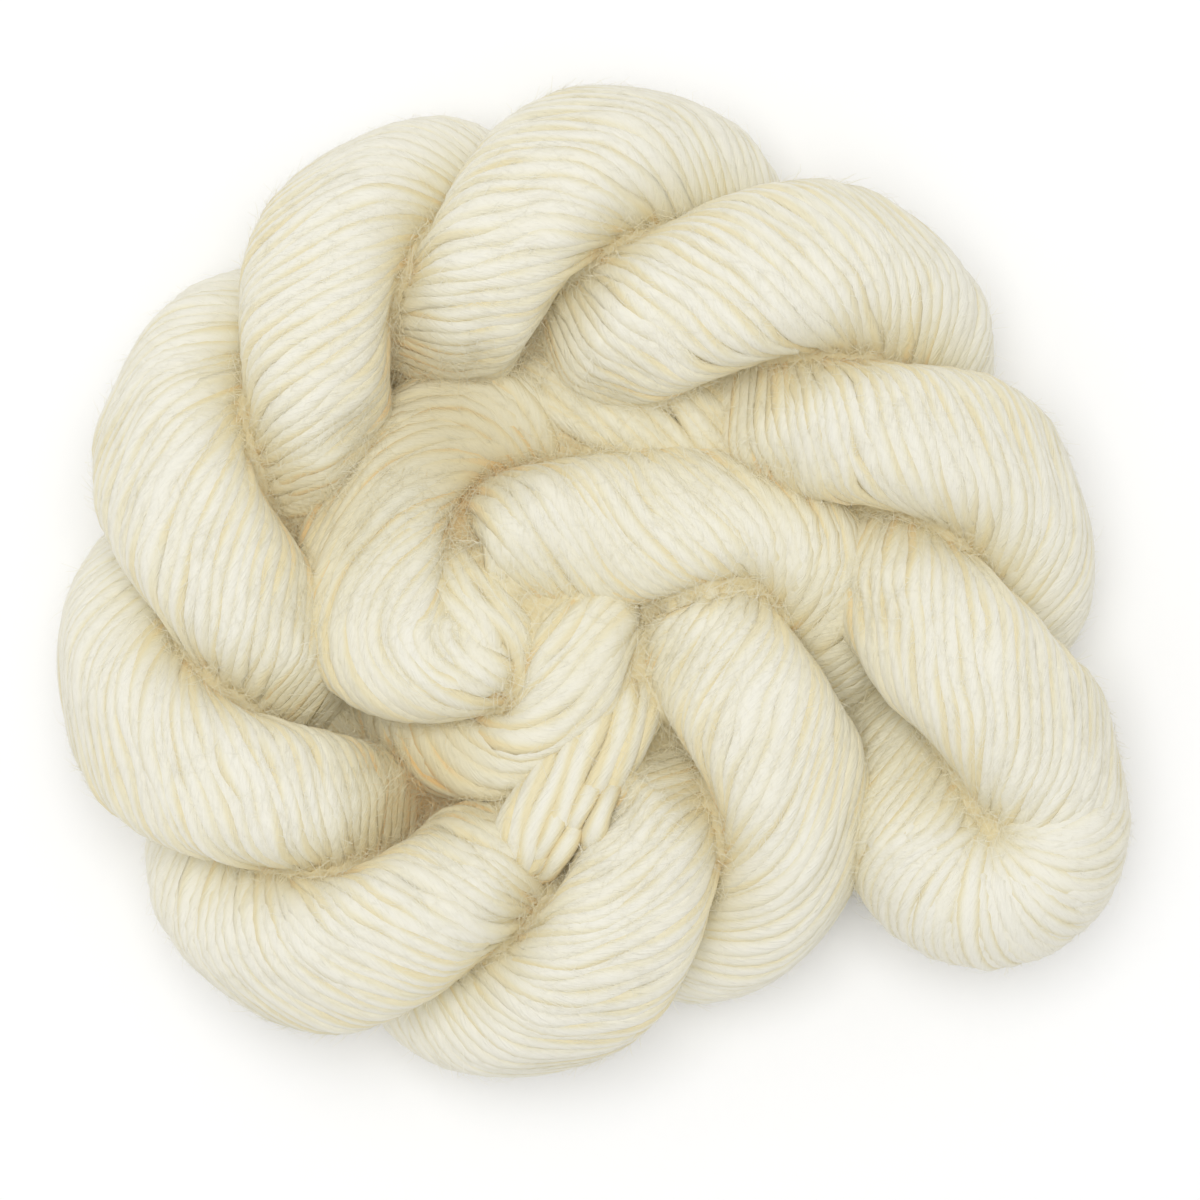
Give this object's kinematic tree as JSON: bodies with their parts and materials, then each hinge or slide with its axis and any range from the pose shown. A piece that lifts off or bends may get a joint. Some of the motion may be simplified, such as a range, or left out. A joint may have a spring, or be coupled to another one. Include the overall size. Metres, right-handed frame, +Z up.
{
  "type": "mini skein of yarn",
  "caption": "Mini skein of undyed cream wool: a hank of loose single-ply strands doubled, twisted into a fat two-ply rope and coiled into a flat round, with its looped end at the rim.",
  "frame": {"origin": "middle of the footprint, on the surface that the skein lies on", "axes": "+Z up, out of the coil's upper face; +X towards the rim on the side of the rope's looped outer end; +Y completes a right-handed frame, away from that end"},
  "size_m": [0.1091, 0.1009, 0.0266],
  "materials": {
    "wool": "undyed cream single-ply wool, soft and matt, with a short halo of loose fibres"
  },
  "bodies": {
    "root": {"skein": "wool"}
  },
  "joints": []
}
